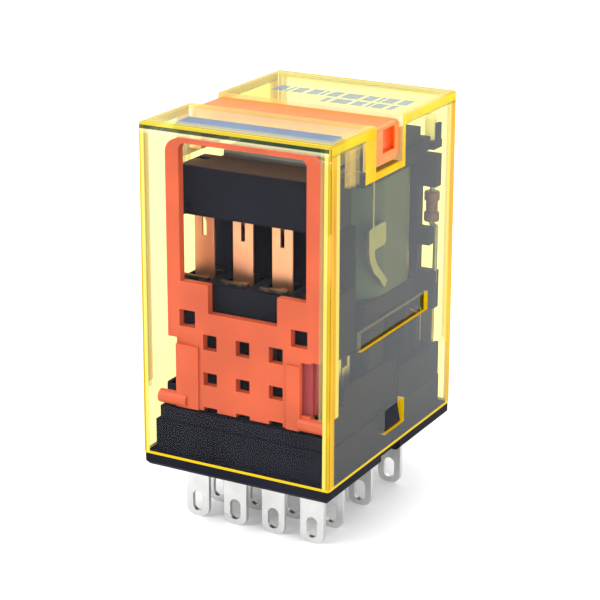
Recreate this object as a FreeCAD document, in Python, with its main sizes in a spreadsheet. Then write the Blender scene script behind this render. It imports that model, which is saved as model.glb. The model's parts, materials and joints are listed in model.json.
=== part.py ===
import FreeCAD, Part
import math
import os
import re

import Sketcher

# Plug-in relay with four changeover poles. Millimetres. X runs along the front, Y from front to back and
# Z up; the origin is the middle of the underside of the base, which seats on the socket.

doc = FreeCAD.newDocument("plug_in_relay")
sheet = doc.addObject("Spreadsheet::Sheet", "Dims")

DIMENSIONS = {
    # envelope and cover
    "width": 21.0, "depth": 27.6, "height": 35.3, "rim": 1.3, "draft": 0.1,
    "wall_side": 0.75, "wall_end": 1.0, "wall_top": 0.65, "edge_round": 0.25, "rim_round": 0.5,
    # grooves and openings in the cover, as fronts, backs, bottoms and tops
    "groove_front": -7.3, "groove_back": 7.7, "groove_low": 13.55, "groove_high": 15.5, "groove_deep": 0.45,
    "latch_front": -1.8, "latch_back": 2.6, "latch_low": 3.0, "latch_high": 5.6,
    "saddle_front": -4.5, "saddle_back": 1.15, "saddle_low": 30.7,
    # ribs inside the cover
    "lining_deep": 0.75, "lining_front": 1.6, "lining_back": 0.7, "lining_low": 0.65,
    "rib_first": -8.2, "rib_second": -7.2, "rib_thick": 0.75, "rib_low": 30.0,
    "corner_rib_deep": 0.5, "corner_rib_wide": 0.45, "corner_rib_low": 8.5,
    "cross_rib_thick": 0.8, "cross_rib_low": 33.5,
    # blades: four poles at one pitch, in rows from front to back
    "pitch": 4.4, "blade_width": 2.6, "blade_thick": 0.5, "blade_reach": 6.4,
    "hole_width": 1.2, "hole_long": 2.2, "hole_rise": 1.65, "tip_round": 1.0, "slot_gap": 0.03,
    "row_no": -9.65, "row_nc": -5.55, "row_com": 0.8, "row_coil": 7.6,
    # base and contact block
    "body_side": 9.65, "body_end": 12.7, "body_top": 6.1, "chamfer_low": 0.4,
    "block_side": 8.85, "block_front": -10.6, "block_top": 19.05, "screen_back": -4.1, "screen_top": 25.2,
    "cell_half": 1.55, "cell_floor": 15.5,
    "tab_low": 7.9, "tab_top": 12.0, "tab_reach": -6.1,
    "window_low": 7.8, "window_high": 12.4, "waist_top": 13.9,
    # base, above its body
    "lower_top": 4.7, "step_in": 0.35, "cheek_outer": 9.3, "cheek_inner": 8.95, "cheek_front": -11.0,
    "cheek_back": 3.0, "cheek_top": 9.9, "cheek_round": 2.8, "rear_cheek_outer": 9.6,
    "rear_cheek_back": 12.6, "rear_cheek_top": 8.4, "step_half": 8.6, "step_back": 11.0, "step_top": 8.7,
    # contacts and springs
    "contact_z": 18.2, "contact_radius": 0.7, "head_width": 3.05, "head_top": 19.4, "head_tall": 0.6,
    "neck_half": 0.6,
    "spring_front": -8.0, "spring_thick": 0.2, "spring_width": 2.26, "spring_tip": 17.3,
    "button_tall": 0.4, "contact_gap": 0.66, "rest_gap": 0.03,
    "rivet_radius": 0.33, "rivet_tall": 0.12, "rivet_apart": 0.75, "slit_half": 0.225, "slit_low": 23.05,
    "slit_high": 25.75, "spring_top": 27.0,
    # magnet
    "hinge_y": -3.4, "hinge_z": 29.9, "yoke_thick": 1.0, "yoke_half": 6.4, "yoke_floor": 13.3,
    "coil_y": 4.3, "coil_half_x": 8.3, "coil_half_y": 6.3, "coil_round": 4.0, "tape_thick": 0.15,
    "flange_low": 14.5, "flange_thick": 2.0, "flange_top": 28.5, "core_radius": 2.5, "core_top": 29.95,
    "plate_low": 30.6, "plate_thick": 0.9, "plate_back": 8.6, "plate_half": 6.0,
    # moving block
    "mover_half": 8.2, "mover_front": -9.9, "mover_low": 25.6, "mover_top": 30.6,
    "mover_back": -5.25, "boss_inner": 7.2, "boss_outer": 8.0, "boss_front": -11.05, "boss_low": 25.8,
    "boss_top": 26.8,
    # card
    "card_front": -12.0, "card_thick": 0.85, "card_half": 8.5, "card_top": 33.6, "card_low": 6.3,
    "card_waist": 7.5, "shoulder": 13.5, "sight_half": 7.0, "sight_top": 33.25, "sight_low": 19.4,
    "dip_half": 3.85, "dip_low": 16.5, "card_round": 1.4, "port_pitch": 3.7, "port_width": 1.55,
    "foot_y": -11.9, "foot_z": 7.0, "foot_radius": 0.7, "foot_end": 9.5,
    "sunk_inner": 6.45, "sunk_outer": 7.6, "sunk_low": 7.9, "sunk_high": 13.3, "card_raised": 0.25,
    "card_flange_back": -8.8, "foot_inner": 6.3,
    # check button
    "strap_front": -4.25, "strap_back": 0.9, "strap_half": 10.15, "strap_top": 34.9, "strap_low": 31.15,
    "strap_thick": 0.8, "press": 0.35, "recess_front": -2.6, "recess_low": 32.2, "recess_high": 34.5,
    "recess_deep": 0.45, "strap_foot_round": 1.1, "strap_round": 0.5,
    # component holder, resistor and indicator lamp
    "holder_inner": 4.6, "holder_outer": 7.5, "holder_front": 11.2, "holder_back": 12.4,
    "holder_top": 29.6, "shelf_front": 11.15, "wire_way": 0.28, "wire_radius": 0.25,
    "resistor_x": 8.75, "resistor_y": 11.9, "resistor_low": 21.7, "resistor_tall": 3.2,
    "resistor_cap": 0.8, "resistor_cap_tall": 1.0, "resistor_belly": 0.62,
    "lamp_x": 8.5, "lamp_y": 11.7, "lamp_low": 30.4, "lamp_tall": 2.1, "lamp_radius": 0.62,
}
for row, (alias, size) in enumerate(DIMENSIONS.items(), start=1):
    sheet.set(f"A{row}", alias)
    sheet.set(f"B{row}", str(size))
    sheet.setAlias(f"B{row}", alias)
doc.recompute()

POLES = (-1.5, -0.5, 0.5, 1.5)
SIDES = {"left": -1, "right": 1}
nodes = []


def spelled(size):
    """A size as an expression, with the sheet's name put before each of its aliases."""
    return re.sub(r"[a-z_]+", lambda word: f"Dims.{word[0]}" if word[0] in DIMENSIONS else word[0],
                  str(size))


def value(size):
    return float(sheet.evalExpression(spelled(size)))


def bind(thing, **sizes):
    for path, size in sizes.items():
        thing.setExpression(path.replace("__", "."), spelled(size))
    return thing


def put(thing, x=0, y=0, z=0):
    return bind(thing, Placement__Base__x=x, Placement__Base__y=y, Placement__Base__z=z)


def node(thing, name=None):
    """Marks an object as one finished sub-part."""
    thing.Label = name or thing.Name
    nodes.append(thing)
    return thing


# ---- solids ----

def block(name, x, y, z):
    """A box between three pairs of low and high sizes."""
    box = doc.addObject("Part::Box", name)
    bind(box, Length=f"({x[1]}) - ({x[0]})", Width=f"({y[1]}) - ({y[0]})", Height=f"({z[1]}) - ({z[0]})")
    return put(box, x[0], y[0], z[0])


def rod(name, axis, radius, start, length):
    """A cylinder from a starting point along X, Y or Z."""
    cylinder = doc.addObject("Part::Cylinder", name)
    bind(cylinder, Radius=radius, Height=length)
    turns = {"X": FreeCAD.Rotation(FreeCAD.Vector(0, 1, 0), 90),
             "Y": FreeCAD.Rotation(FreeCAD.Vector(1, 0, 0), -90),
             "Z": FreeCAD.Rotation()}
    cylinder.Placement.Rotation = turns[axis]
    return put(cylinder, *start)


def joined(name, pieces):
    union = doc.addObject("Part::MultiFuse", name)
    union.Shapes = pieces
    return union


def group(name, pieces):
    """Separate solids that share one node."""
    bundle = doc.addObject("Part::Compound", name)
    bundle.Links = pieces
    return bundle


def cut(name, base, tools):
    remainder = doc.addObject("Part::Cut", name)
    remainder.Base = base
    remainder.Tool = tools[0] if len(tools) == 1 else joined(f"{name}_tools", tools)
    return remainder


def rounded(name, base, radius, wanted):
    """Rounds those straight edges of a shape that a test picks."""
    doc.recompute()
    fillet = doc.addObject("Part::Fillet", name)
    fillet.Base = base
    size = value(radius)
    fillet.Edges = [(i, size, size) for i, edge in enumerate(base.Shape.Edges, start=1) if wanted(edge)]
    return fillet


def runs_along(edge, axis):
    direction = edge.Vertexes[-1].Point - edge.Vertexes[0].Point
    return direction.Length > 0.05 and abs(direction.normalize().dot(axis)) > 0.999


# ---- PartDesign helpers ----

def body(name):
    return doc.addObject("PartDesign::Body", name)


def sketch(host, plane, offset, loops=(), circles=()):
    """A sketch on one of the body's origin planes, with every corner and circle held by the sheet."""
    drawing = host.newObject("Sketcher::SketchObject", f"{host.Name}_sketch")
    support = next(f for f in host.Origin.OriginFeatures if f.Role == f"{plane}_Plane")
    drawing.AttachmentSupport = [(support, "")]
    drawing.MapMode = "FlatFace"
    drawing.setExpression("AttachmentOffset.Base.z", spelled(offset))
    for corners in loops:
        first = drawing.GeometryCount
        count = len(corners)
        spots = [FreeCAD.Vector(value(u), value(v), 0) for u, v in corners]
        lines = [Part.LineSegment(spots[i], spots[(i + 1) % count]) for i in range(count)]
        drawing.addGeometry(lines, False)
        for i, corner in enumerate(corners):
            following = first + (i + 1) % count
            drawing.addConstraint(Sketcher.Constraint("Coincident", first + i, 2, following, 1))
            hold(drawing, first + i, 1, corner)
    for u, v, radius in circles:
        spot = FreeCAD.Vector(value(u), value(v), 0)
        ring = drawing.addGeometry(Part.Circle(spot, FreeCAD.Vector(0, 0, 1), value(radius)), False)
        hold(drawing, ring, 3, (u, v))
        limit = drawing.addConstraint(Sketcher.Constraint("Radius", ring, value(radius)))
        drawing.setExpression(f"Constraints[{limit}]", spelled(radius))
    return drawing


def hold(drawing, line, end, corner):
    """Fixes a point of a sketch at a distance from the sketch's origin."""
    for kind, size in zip(("DistanceX", "DistanceY"), corner):
        limit = drawing.addConstraint(Sketcher.Constraint(kind, -1, 1, line, end, value(size)))
        drawing.setExpression(f"Constraints[{limit}]", spelled(size))


def pad(host, plane, span, loops=(), circles=(), taper=0.0):
    """Adds an outline's prism between two places along the plane's axis."""
    low, high = span
    offset = f"-({high})" if plane == "XZ" else low
    feature_sketch = sketch(host, plane, offset, loops, circles)
    feature = host.newObject("PartDesign::Pad", f"{host.Name}_pad")
    feature.Profile = feature_sketch
    feature.TaperAngle = taper
    bind(feature, Length=f"({high}) - ({low})")
    host.Tip = feature
    return feature


def pocket(host, plane, span, loops=(), circles=(), taper=0.0):
    """Cuts an outline's prism between two places, and makes sure that it removed something."""
    low, high = span
    doc.recompute()
    before = host.Shape.Volume
    offset = f"-({low})" if plane == "XZ" else high
    if taper:
        offset = low
    feature_sketch = sketch(host, plane, offset, loops, circles)
    feature = host.newObject("PartDesign::Pocket", f"{host.Name}_pocket")
    feature.Profile = feature_sketch
    feature.Reversed = bool(taper)
    feature.TaperAngle = taper
    bind(feature, Length=f"({high}) - ({low})")
    host.Tip = feature
    doc.recompute()
    if host.Shape.Volume > before - 1e-4:
        raise RuntimeError(f"{feature.Name} removed nothing")
    return feature


def soften(host, radius, wanted, kind="Fillet"):
    """Rounds or chamfers those edges of the body that a test picks."""
    doc.recompute()
    tip = host.Tip
    names = [f"Edge{i}" for i, edge in enumerate(tip.Shape.Edges, start=1) if wanted(edge)]
    feature = host.newObject(f"PartDesign::{kind}", f"{host.Name}_{kind.lower()}")
    feature.Base = (tip, names)
    bind(feature, **{"Radius" if kind == "Fillet" else "Size": radius})
    host.Tip = feature
    return feature


def rectangle(x, y):
    return [(x[0], y[0]), (x[1], y[0]), (x[1], y[1]), (x[0], y[1])]


def mirrored(right_side):
    """A closed outline from its right half, listed from the bottom middle to the top middle."""
    return right_side + [(f"-({u})", v) for u, v in reversed(right_side)]


X_AXIS, Y_AXIS, Z_AXIS = FreeCAD.Vector(1, 0, 0), FreeCAD.Vector(0, 1, 0), FreeCAD.Vector(0, 0, 1)
DRAFT_ANGLE = math.degrees(math.atan(value("draft") / value("height - rim")))


# ---- cover ----

def make_cover():
    cover = body("cover")
    outline = rectangle(("-width/2", "width/2"), ("-depth/2", "depth/2"))
    pad(cover, "XY", ("rim", "height"), [outline], taper=-DRAFT_ANGLE)
    soften(cover, "edge_round", lambda e: e.BoundBox.ZMin > value("rim") + 0.01 or e.BoundBox.ZLength > 1)
    inside = rectangle(("-width/2 + wall_side", "width/2 - wall_side"),
                       ("-depth/2 + wall_end", "depth/2 - wall_end"))
    pocket(cover, "XY", ("rim", "height - wall_top"), [inside], taper=-DRAFT_ANGLE)

    side = "width/2 - wall_side"
    for sign in ("", "-"):
        inner = (f"{sign}({side} - lining_deep)", f"{sign}({side} + 0.1)")
        lining = sorted(inner, key=value)
        # lining of the saddle that the check button sits in: before, below and behind it
        roof = "height - wall_top + 0.1"
        pad(cover, "YZ", lining, [rectangle(("saddle_front - lining_front", "saddle_front"),
                                            ("saddle_low - lining_low", roof))])
        pad(cover, "YZ", lining, [rectangle(("saddle_front - 0.2", "saddle_back + lining_back"),
                                            ("saddle_low - lining_low", "saddle_low"))])
        pad(cover, "YZ", lining, [rectangle(("saddle_back", "saddle_back + lining_back"),
                                            ("saddle_low - 0.2", roof))])
        # short guide ribs in front of the saddle
        for rib in ("rib_first", "rib_second"):
            pad(cover, "YZ", lining, [rectangle((rib, f"{rib} + rib_thick"), ("rib_low", roof))])
        # long groove low in each side, cut to part of the wall's thickness
        groove = sorted((f"{sign}(width/2 - groove_deep)", f"{sign}(width/2 + 1)"), key=value)
        pocket(cover, "YZ", groove, [rectangle(("groove_front", "groove_back"),
                                               ("groove_low", "groove_high"))])
        # long rib in each front corner
        corner = sorted((f"{sign}({side} - corner_rib_deep)", f"{sign}({side} + 0.1)"), key=value)
        pad(cover, "YZ", corner, [rectangle(("-depth/2 + wall_end - 0.1",
                                             "-depth/2 + wall_end + corner_rib_wide"),
                                            ("corner_rib_low", roof))])
    # rib under the roof, across the front of the check button
    pad(cover, "XZ", ("saddle_front - cross_rib_thick", "saddle_front"),
        [rectangle((f"-({side} + 0.1)", f"{side} + 0.1"), ("cross_rib_low", roof))])
    across = ("-width/2 - 1", "width/2 + 1")
    pocket(cover, "YZ", across, [rectangle(("latch_front", "latch_back"), ("latch_low", "latch_high"))])
    pocket(cover, "YZ", across, [rectangle(("saddle_front", "saddle_back"), ("saddle_low", "height + 1"))])
    return node(cover)


# ---- terminals ----

ROWS = {"no": "row_no", "nc": "row_nc", "com": "row_com", "coil": "row_coil"}
NC_STEP = -6.65   # the middle of a normally closed strip above the base
COM_STEP = -4.75  # the middle of a common strip in front of the screen
COIL_STEP = 12.0
COIL_POST = (7.8, 9.2)


def blade(terminal, x, row, top):
    """The flat blade, with its rounded tip and oblong hole."""
    half = "blade_width/2"
    span = (f"{row} - blade_thick/2", f"{row} + blade_thick/2")
    pad(terminal, "XZ", span, [rectangle((f"{x} - {half}", f"{x} + {half}"), ("-blade_reach", top))])
    soften(terminal, "tip_round", lambda e: runs_along(e, Y_AXIS) and e.BoundBox.ZMax < -1)
    middle = "-blade_reach + hole_rise"
    pocket(terminal, "XZ", span, [rectangle(
        (f"{x} - hole_width/2", f"{x} + hole_width/2"),
        (f"{middle} - hole_long/2", f"{middle} + hole_long/2"))])
    hole_floor = value(f"{middle} - hole_long/2") - 0.01
    soften(terminal, "hole_width/2 - 0.002", lambda e: (
        runs_along(e, Y_AXIS) and hole_floor < e.BoundBox.ZMin < hole_floor + 2.3
        and abs(e.BoundBox.XMin - value(x)) < value("hole_width/2") + 0.01))


def make_terminals():
    for number, pole in enumerate(POLES, start=1):
        x = f"{pole} * pitch"
        width = (f"{x} - blade_width/2", f"{x} + blade_width/2")

        open_terminal = body(f"no_terminal_{number}")
        blade(open_terminal, x, "row_no", 5.5)
        front = ("row_no - blade_thick/2", "row_no + blade_thick/2")
        pad(open_terminal, "XZ", front, [rectangle((f"{x} - neck_half", f"{x} + neck_half"),
                                                   (5.4, "head_top - head_tall + 0.1"))])
        pad(open_terminal, "XZ", front, [rectangle((f"{x} - head_width/2", f"{x} + head_width/2"),
                                                   ("head_top - head_tall", "head_top"))])
        node(open_terminal)

        closed_terminal = body(f"nc_terminal_{number}")
        blade(closed_terminal, x, "row_nc", 5.0)
        pad(closed_terminal, "YZ", width, [stepped("row_nc", NC_STEP, 4.5, 19.2)])
        node(closed_terminal)

        common = body(f"com_terminal_{number}")
        blade(common, x, "row_com", 3.5)
        pad(common, "YZ", (f"{x} - 0.7", f"{x} + 0.7"), [stepped("row_com", COM_STEP, 3.0, 18.6)])
        if abs(pole) == max(POLES):
            # anchor tab, which shows in the window in the side of the contact block
            outer = sorted((f"{x} + {math.copysign(0.6, pole)}", f"{x} + {math.copysign(1.3, pole)}"),
                           key=value)
            tab_back, tab_front = f"{COM_STEP} + blade_thick/2", f"{COM_STEP} - blade_thick/2"
            pad(common, "YZ", outer, [[
                (tab_back, "tab_low"), (tab_back, "tab_top"), (tab_front, "tab_top"), (tab_front, 11.1),
                ("tab_reach", 11.1), ("tab_reach", 9.0), (tab_front, 9.0), (tab_front, "tab_low")]])
        node(common)

    for side, sign in SIDES.items():
        terminal = body(f"coil_terminal_{side}")
        x = f"{1.5 * sign} * pitch"
        blade(terminal, x, "row_coil", 5.0)
        post = sorted(sign * edge for edge in COIL_POST)
        across = (f"{x} - blade_width/2", post[1]) if sign > 0 else (post[0], f"{x} + blade_width/2")
        reach = ("row_coil - blade_thick/2", f"{COIL_STEP} + blade_thick/2")
        pad(terminal, "XY", (4.5, 5.0), [rectangle(across, reach)])
        pad(terminal, "XZ", (f"{COIL_STEP} - blade_thick/2", reach[1]), [rectangle(post, (4.9, 12.2))])
        node(terminal)


def stepped(row, step, low, top):
    """Side view of a strip that leaves its row, steps forward at one height and rises again."""
    return [(f"{row} + blade_thick/2", low), (f"{row} + blade_thick/2", f"{low} + blade_thick"),
            (f"{step} + blade_thick/2", f"{low} + blade_thick"), (f"{step} + blade_thick/2", top),
            (f"{step} - blade_thick/2", top), (f"{step} - blade_thick/2", low)]


# ---- base ----

def slot(name, x, row, top, half="blade_width/2", back=None):
    """The way through the base for one blade, or for the step above it."""
    gap = "slot_gap"
    return block(name, (f"{x} - {half} - {gap}", f"{x} + {half} + {gap}"),
                 (f"{row} - blade_thick/2 - {gap}", f"{back or row} + blade_thick/2 + {gap}"), top)


def make_base():
    flange = rounded("base_flange", block(
        "base_plate", ("-width/2", "width/2"), ("-depth/2", "depth/2"), (0, "rim")),
        "rim_round", lambda e: runs_along(e, Z_AXIS))
    low = doc.addObject("Part::Chamfer", "base_chamfered")
    doc.recompute()
    low.Base = flange
    bevel = value("chamfer_low")
    low.Edges = [(i, bevel, bevel) for i, e in enumerate(flange.Shape.Edges, 1) if e.BoundBox.ZMax < 0.01]

    lower = block("base_lower", ("-body_side", "body_side"), ("-body_end", "body_end"),
                  ("rim - 0.1", "lower_top"))
    upper = block("base_upper", ("-body_side + step_in", "body_side - step_in"),
                  ("-body_end + 0.3", "body_end - 0.3"), ("lower_top - 0.1", "body_top"))
    solids = [low, lower, upper]
    for side, sign in SIDES.items():
        x = sorted((f"{sign} * cheek_outer", f"{sign} * cheek_inner"), key=value)
        # cheek with its rounded rear corner
        cheek = body(f"base_cheek_{side}")
        pad(cheek, "YZ", x, [[
            ("cheek_front", "body_top - 0.2"), ("cheek_back", "body_top - 0.2"), ("cheek_back", "cheek_top"),
            (-8.4, "cheek_top"), (-8.4, 8.2), ("cheek_front", 8.2)]])
        soften(cheek, "cheek_round", lambda e: runs_along(e, X_AXIS)
               and e.BoundBox.YMin > value("cheek_back") - 0.1 and e.BoundBox.ZMin > 9)
        solids.append(cheek)
        solids.append(block(f"base_rear_cheek_{side}", sorted(
            (f"{sign} * rear_cheek_outer", f"{sign} * (cheek_outer - 0.05)"), key=value),
            ("cheek_back", "rear_cheek_back"), ("lower_top - 0.1", "rear_cheek_top")))
        # pillars that carry the bobbin
        pillar = sorted((9.1 * sign, 6.6 * sign))
        solids.append(block(f"base_front_pillar_{side}", pillar, (-3.0, 0.4), (3.8, "flange_low")))
        solids.append(block(f"base_rear_pillar_{side}", sorted((7.5 * sign, 5.2 * sign)), (8.5, 9.8),
                            (5.1, "flange_low")))
        # latch tooth that snaps into the cover's window
        tooth = body(f"base_tooth_{side}")
        pad(tooth, "YZ", sorted((9.5 * sign, 10.25 * sign)),
            [[(-1.4, 3.25), (2.2, 3.25), (1.5, 5.3), (-1.4, 5.3)]])
        solids.append(tooth)
        # horn behind each foot of the card
        solids.append(block(f"base_horn_{side}", sorted((9.3 * sign, 8.3 * sign)), (-11.05, -10.75),
                            ("body_top - 0.1", 8.0)))
    # step behind the cheeks, and the walls under the bobbin
    solids.append(block("base_rear_step", ("-step_half", "step_half"), (3.4, "step_back"),
                        ("body_top - 0.2", "step_top")))
    solids.append(block("base_front_wall", (-6.7, 6.7), (0.0, 0.8),
                        ("body_top - 0.2", "yoke_floor - 0.1")))
    solids.append(block("base_rear_wall", (-5.3, 5.3), (8.9, 9.5),
                        ("body_top - 0.2", "flange_low")))
    solid = joined("base_solid", solids)

    ways = []
    for number, pole in enumerate(POLES, start=1):
        x = f"{pole} * pitch"
        ways.append(slot(f"base_no_way_{number}", x, "row_no", (-1, 7)))
        ways.append(slot(f"base_nc_way_{number}", x, "row_nc", (-1, "5.0 + slot_gap")))
        ways.append(slot(f"base_nc_step_{number}", x, NC_STEP, ("4.5 - slot_gap", 7), back="row_nc"))
        ways.append(slot(f"base_com_way_{number}", x, "row_com", (-1, "3.5 + slot_gap")))
        ways.append(slot(f"base_com_step_{number}", x, COM_STEP, ("3.0 - slot_gap", 7), 0.7, "row_com"))
    for side, sign in SIDES.items():
        x = f"{1.5 * sign} * pitch"
        ways.append(slot(f"base_coil_way_{side}", x, "row_coil", (-1, 5)))
        across = sorted((5.27 * sign, 9.24 * sign))
        ways.append(block(f"base_coil_step_{side}", across, ("row_coil - blade_thick/2 - slot_gap", 12.3),
                          ("4.5 - slot_gap", 5.08)))
        ways.append(block(f"base_coil_post_{side}", sorted((7.75 * sign, 9.24 * sign)), (11.7, 12.3),
                          (4.4, 8)))
    # notch in the right rim, the moulding seams on the front and the shallow line above them
    ways.append(block("base_rim_notch", (9.5, 11), (-2.5, 1.8), (-1, 1.1)))
    ways.append(block("base_seam_upright", (-3.06, -2.94), (-13, "-body_end + 0.1"), (1.6, 4.6)))
    ways.append(block("base_seam_level", (3.0, 8.2), (-13, "-body_end + 0.1"), (3.9, 4.02)))
    return node(cut("base", solid, ways))


# ---- contact block ----

def make_contact_block():
    mass = block("contact_mass", ("-block_side", "block_side"), ("block_front", "screen_back"),
                 ("body_top", "block_top"))
    screen = block("contact_screen", (-8.2, 8.2), ("screen_back - 0.3", "screen_back"),
                   ("block_top - 0.1", "screen_top"))
    removed = []
    for number, pole in enumerate(POLES, start=1):
        x = f"{pole} * pitch"
        cell = (f"{x} - cell_half", f"{x} + cell_half")
        removed.append(block(f"contact_cell_{number}", cell, (-10.05, -5.2), ("cell_floor", 20)))
        removed.append(block(f"contact_tail_way_{number}", (f"{x} - 1.0", f"{x} - 0.5"), (-5.3, -4.95),
                             (17.4, 20)))
        removed.append(slot(f"contact_no_way_{number}", x, "row_no", (5, 20), "neck_half"))
        removed.append(slot(f"contact_nc_way_{number}", x, NC_STEP, (5, 20)))
        removed.append(slot(f"contact_com_way_{number}", x, COM_STEP, (5, 20), 0.7))
        removed.append(block(f"contact_port_{number}", (f"{x} - 0.9", f"{x} + 0.9"), (-11, -9.8),
                             (11.3, 14.6)))
    for side, sign in SIDES.items():
        # waist that leaves room for the card's flanges, and the ears above it
        flank = sorted((9 * sign, 8.2 * sign))
        removed.append(block(f"contact_waist_{side}", sorted((9 * sign, 7.2 * sign)), (-11, -8.5),
                             (5, "waist_top")))
        removed.append(block(f"contact_window_{side}", sorted((9 * sign, 7.1 * sign)), (-8.6, -4),
                             ("window_low", "window_high")))
        removed.append(block(f"contact_side_{side}", flank, (-11, -4), (5, 15.6)))
        removed.append(block(f"contact_back_{side}", flank, (-9.2, -4), (15, 20)))
    return node(cut("contact_block", joined("contact_solid", [mass, screen]), removed))


# ---- contacts ----

def make_fixed_contacts():
    fronts, backs = [], []
    for number, pole in enumerate(POLES, start=1):
        x = f"{pole} * pitch"
        fronts.append(rod(f"no_contact_head_{number}", "Y", "contact_radius",
                          (x, "row_no + blade_thick/2", "contact_z"),
                          "spring_front - button_tall - contact_gap - (row_no + blade_thick/2)"))
        for side, sign in SIDES.items():
            rivet = (f"{x} + {sign} * rivet_apart", "row_no - blade_thick/2 - rivet_tall",
                     "head_top - head_tall/2 + 0.04")
            fronts.append(rod(f"no_rivet_{number}_{side}", "Y", "rivet_radius", rivet,
                              "rivet_tall"))
        face = "spring_front + spring_thick + button_tall + rest_gap"
        backs.append(rod(f"nc_contact_head_{number}", "Y", "contact_radius", (x, face, "contact_z"),
                         f"{NC_STEP} - blade_thick/2 - ({face})"))
    node(group("no_contacts", fronts))
    node(group("nc_contacts", backs))


def make_springs():
    buttons = []
    for number, pole in enumerate(POLES, start=1):
        x = f"{pole} * pitch"
        spring = body(f"movable_spring_{number}")
        pad(spring, "XZ", ("spring_front", "spring_front + spring_thick"),
            [rectangle((f"{x} - spring_width/2", f"{x} + spring_width/2"), ("spring_tip", "spring_top"))])
        pocket(spring, "XZ", ("spring_front - 0.1", "spring_front + spring_thick + 0.1"),
               [rectangle((f"{x} - slit_half", f"{x} + slit_half"), ("slit_low", "slit_high"))])
        node(spring)
        buttons.append(rod(f"front_button_{number}", "Y", "contact_radius",
                           (x, "spring_front - button_tall", "contact_z"), "button_tall"))
        buttons.append(rod(f"rear_button_{number}", "Y", "contact_radius",
                           (x, "spring_front + spring_thick", "contact_z"), "button_tall"))
    node(group("moving_contacts", buttons))


# ---- moving block and armature ----

def make_moving_block():
    mass = rounded("mover_mass", block(
        "mover_box", ("-mover_half", "mover_half"), ("mover_front", "mover_back"),
        ("mover_low", "mover_top")),
        0.25, lambda e: e.BoundBox.ZMin > value("mover_top") - 0.01)
    solids = [mass]
    for side, sign in SIDES.items():
        solids.append(block(f"mover_boss_{side}", sorted(
            (f"{sign} * boss_inner", f"{sign} * boss_outer"), key=value),
            ("boss_front", "mover_front + 0.1"), ("boss_low", "boss_top")))
    removed = [block("mover_vent", (-8.0, -6.6), (-7.3, -6.3), (29.0, 31))]
    for number, pole in enumerate(POLES, start=1):
        x = f"{pole} * pitch"
        removed.append(block(f"mover_slit_{number}", (f"{x} - spring_width/2", f"{x} + spring_width/2"),
                             ("spring_front", "spring_front + spring_thick"), (25, "spring_top")))
    return node(cut("moving_block", joined("mover_solid", solids), removed))


def make_armature():
    armature = body("armature")
    leg = "mover_back + plate_thick"
    pad(armature, "YZ", ("-plate_half", "plate_half"), [[
        ("mover_back", "mover_low"), (leg, "mover_low"), (leg, "plate_low"), ("plate_back", "plate_low"),
        ("plate_back", "plate_low + plate_thick"), ("mover_back", "plate_low + plate_thick")]])
    soften(armature, 0.6, lambda e: runs_along(e, X_AXIS) and e.BoundBox.YMax < -5.2
           and e.BoundBox.ZMin > 31)
    return node(armature)


# ---- electromagnet ----

def make_yoke():
    yoke = body("yoke")
    front, back = "hinge_y - yoke_thick/2", "hinge_y + yoke_thick/2"
    pad(yoke, "YZ", ("-yoke_half", "yoke_half"), [[
        (front, "yoke_floor"), (8.4, "yoke_floor"), (8.4, "flange_low"), (back, "flange_low"),
        (back, "hinge_z + 0.5"), (front, "hinge_z + 0.5")]])
    soften(yoke, "yoke_thick/2 - 0.01", lambda e: runs_along(e, X_AXIS) and e.BoundBox.ZMin > 30)
    pocket(yoke, "XY", ("yoke_floor - 0.1", "flange_low + 0.1"), circles=[("0.001", "coil_y", 1.52)])
    return node(yoke)


def make_core():
    stem = rod("core_stem", "Z", "core_radius", (0, "coil_y", "flange_low"), "core_top - 0.4 - flange_low")
    tenon = rod("core_tenon", "Z", 1.5, (0, "coil_y", "yoke_floor - 0.3"), "flange_low - yoke_floor + 0.4")
    pole_face = rod("core_pole", "Z", 3.4, (0, "coil_y", "core_top - 0.45"), 0.45)
    return node(joined("core", [stem, tenon, pole_face]))


def pill(name, grow, span):
    """The coil's rounded rectangle, grown or shrunk all round."""
    box = block(f"{name}_box", (f"-(coil_half_x + ({grow}))", f"coil_half_x + ({grow})"),
                (f"coil_y - coil_half_y - ({grow})", f"coil_y + coil_half_y + ({grow})"), span)
    return rounded(name, box, f"coil_round + ({grow})", lambda e: runs_along(e, Z_AXIS))


def make_coil():
    span = ("flange_low + flange_thick", "flange_top")
    drum = rod("winding_hollow", "Z", 3.25, (0, "coil_y", 15), 15)
    node(cut("coil_winding", pill("winding_mass", "-tape_thick - 0.02", span), [drum]))
    node(cut("coil_tape", pill("tape_outer", "0", span), [pill("tape_inner", "-tape_thick", (15, 30))]))

    outline = [(7.5, 11.1), (7.5, 8.9), (8.35, 8.9), (8.35, -2.6)]
    bobbin = body("bobbin")
    loop = [(f"-({x})", y) for x, y in outline] + [(x, y) for x, y in reversed(outline)]
    pad(bobbin, "XY", ("flange_low", "flange_low + flange_thick"), [loop])
    pad(bobbin, "XY", ("flange_low", "flange_top + 1"), circles=[("0.001", "coil_y", 3.2)])
    pad(bobbin, "XY", ("flange_top", "flange_top + 1"), [loop])
    for sign in (-1, 1):
        rim = sorted((6.7 * sign, 8.3 * sign))
        pad(bobbin, "XY", ("flange_top + 0.9", "flange_top + 1.8"), [rectangle(rim, (1.0, 8.8))])
    pocket(bobbin, "XY", ("flange_low - 1", "core_top - 0.45"),
           circles=[("0.001", "coil_y", "core_radius + 0.03")])
    for x in (-7.0, 7.0):
        pocket(bobbin, "XY", ("flange_low - 1", "flange_low + flange_thick + 1"), circles=[(x, 10.2, 0.24)])
    node(bobbin)


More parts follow.
